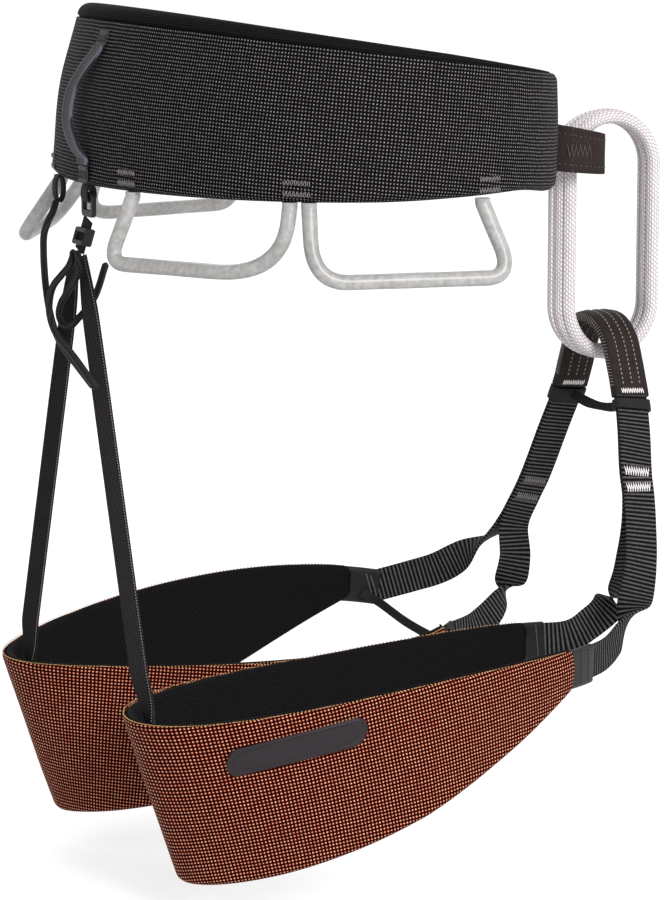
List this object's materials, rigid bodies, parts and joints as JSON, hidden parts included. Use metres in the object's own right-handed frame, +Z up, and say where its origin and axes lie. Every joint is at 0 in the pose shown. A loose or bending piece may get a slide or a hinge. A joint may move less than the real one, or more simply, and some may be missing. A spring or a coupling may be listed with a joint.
{
  "type": "climbing harness",
  "caption": "Climbing harness with a padded waist belt, padded leg loops, belay loop, moulded gear loops and elastic rear suspension.",
  "frame": {"origin": "centre of the waist opening, at the height of the middle of the belt's sides", "axes": "+X towards the wearer's front, +Y towards the wearer's left, +Z up"},
  "size_m": [0.3072, 0.2933, 0.3821],
  "materials": {
    "belt_mesh": "dotted knit mesh",
    "lining": "ribbed knit",
    "foam": "closed-cell foam",
    "webbing": "ribbed webbing",
    "cover": "plain weave",
    "belay_webbing": "tubular webbing",
    "haul_tape": "flat tape",
    "gear_tube": "satin",
    "leg_mesh": "dotted knit mesh",
    "plastic": "fine grain",
    "patch": "satin",
    "metal": "brushed",
    "elastic": "twill elastic"
  },
  "bodies": {
    "waist_belt": {"belt_shell": "belt_mesh", "belt_webbing": "webbing", "belt_foam": "foam", "belt_lining": "lining", "tie_in_ring": "webbing", "tie_in_cover": "cover", "front_webbing": "webbing", "buckle_frame": "metal", "waist_strap": "webbing", "tail_keeper_front": "webbing", "tail_keeper_rear": "webbing", "gear_tab_rear_right": "belt_mesh", "gear_tab_rear_left": "belt_mesh", "gear_tab_middle_right": "belt_mesh", "gear_tab_middle_left": "belt_mesh", "gear_tab_front_right": "belt_mesh", "gear_tab_front_left": "belt_mesh", "haul_anchor_top": "haul_tape", "haul_anchor_bottom": "haul_tape", "hook_ring": "webbing", "tether_ring": "webbing"},
    "buckle_slider": {"buckle_slider": "metal"},
    "strap_tail": {"strap_tail": "webbing"},
    "haul_loop": {"haul_loop": "haul_tape"},
    "gear_loop_rear_right": {"gear_loop_rear_right": "gear_tube"},
    "gear_loop_rear_left": {"gear_loop_rear_left": "gear_tube"},
    "gear_loop_front_right": {"gear_loop_front_right": "gear_tube"},
    "gear_loop_front_left": {"gear_loop_front_left": "gear_tube"},
    "belay_loop": {"belay_loop": "belay_webbing"},
    "leg_bridge": {"bridge_outer_webbing": "webbing", "bridge_inner_webbing": "webbing", "bridge_cover": "cover", "riser_band_right": "elastic", "riser_band_left": "elastic", "riser_link": "elastic"},
    "leg_loop_right": {"leg_shell_right": "leg_mesh", "leg_foam_right": "foam", "leg_lining_right": "lining", "leg_tab_outer_right": "plastic", "leg_tab_inner_right": "plastic", "leg_elastic_right": "elastic", "thigh_patch": "patch"},
    "leg_loop_left": {"leg_shell_left": "leg_mesh", "leg_foam_left": "foam", "leg_lining_left": "lining", "leg_tab_outer_left": "plastic", "leg_tab_inner_left": "plastic", "leg_elastic_left": "elastic"},
    "rear_suspension": {"rear_hook": "plastic", "suspension_web": "elastic", "rear_strap_right": "elastic", "rear_strap_left": "elastic", "elastic_tail_left": "elastic", "elastic_tail_right": "elastic", "elastic_tether": "elastic"},
    "strap_adjuster": {"strap_adjuster": "plastic"}
  },
  "joints": [
    {"name": "belay_loop_swing", "type": "hinge", "parent": "waist_belt", "child": "belay_loop", "pos_m": [0.144, 0, -0.018], "axis": [0, -1, 0], "range_deg": [-12, 20]},
    {"name": "leg_bridge_swing", "type": "hinge", "parent": "belay_loop", "child": "leg_bridge", "pos_m": [0.1523, 0, -0.0989], "axis": [0, -1, 0], "range_deg": [-20, 12]},
    {"name": "leg_loop_tilt_right", "type": "hinge", "parent": "leg_bridge", "child": "leg_loop_right", "pos_m": [0.094, -0.068, -0.238], "axis": [0, 1, 0], "range_deg": [0, 12], "deforming": ["rear_strap_right"]},
    {"name": "leg_loop_tilt_left", "type": "hinge", "parent": "leg_bridge", "child": "leg_loop_left", "pos_m": [0.088, 0.068, -0.238], "axis": [0, 1, 0], "range_deg": [0, 12], "deforming": ["rear_strap_left"]},
    {"name": "rear_suspension_swing", "type": "hinge", "parent": "waist_belt", "child": "rear_suspension", "pos_m": [-0.1125, -0.006, -0.0356], "axis": [0, -1, 0], "range_deg": [-4.5, 7.5]},
    {"name": "strap_adjuster_slide", "type": "slide", "parent": "rear_suspension", "child": "strap_adjuster", "axis": [0.1927, -0.2477, 0.9495], "range_m": [0, 0.003]},
    {"name": "haul_loop_swing", "type": "hinge", "parent": "waist_belt", "child": "haul_loop", "pos_m": [-0.10733, -0.00474, 0.0282], "axis": [0.1962, 0.1086, 0.9745], "range_deg": [-20, 20], "stiffness_Nm_per_rad": 0.02},
    {"name": "gear_loop_rear_right_swing", "type": "hinge", "parent": "waist_belt", "child": "gear_loop_rear_right", "pos_m": [-0.10656, -0.04315, -0.0332], "axis": [-0.5303, 0.8478, 0], "range_deg": [-10, 45], "stiffness_Nm_per_rad": 0.2},
    {"name": "gear_loop_front_right_swing", "type": "hinge", "parent": "waist_belt", "child": "gear_loop_front_right", "pos_m": [0.01792, -0.13112, -0.0332], "axis": [-0.9825, 0.1863, 0], "range_deg": [-10, 45], "stiffness_Nm_per_rad": 0.2},
    {"name": "gear_loop_rear_left_swing", "type": "hinge", "parent": "waist_belt", "child": "gear_loop_rear_left", "pos_m": [-0.10656, 0.04315, -0.0332], "axis": [0.5303, 0.8478, 0], "range_deg": [-30, 24], "stiffness_Nm_per_rad": 0.2},
    {"name": "gear_loop_front_left_swing", "type": "hinge", "parent": "waist_belt", "child": "gear_loop_front_left", "pos_m": [0.01792, 0.13112, -0.0332], "axis": [0.9825, 0.1863, 0], "range_deg": [-30, 24], "stiffness_Nm_per_rad": 0.2},
    {"name": "strap_tail_lift", "type": "hinge", "parent": "waist_belt", "child": "strap_tail", "pos_m": [0.06611, 0.10757, -0.022], "axis": [0, 0, -1], "range_deg": [0, 50], "stiffness_Nm_per_rad": 0.05},
    {"name": "buckle_slider_slide", "type": "slide", "parent": "waist_belt", "child": "buckle_slider", "axis": [-0.3886, 0.9214, 0], "range_m": [0, 0.003]}
  ],
  "couplings": [
    {"joint": "leg_bridge_swing", "follows": "belay_loop_swing", "ratio": -1},
    {"joint": "rear_suspension_swing", "follows": "belay_loop_swing", "ratio": 0.355}
  ]
}
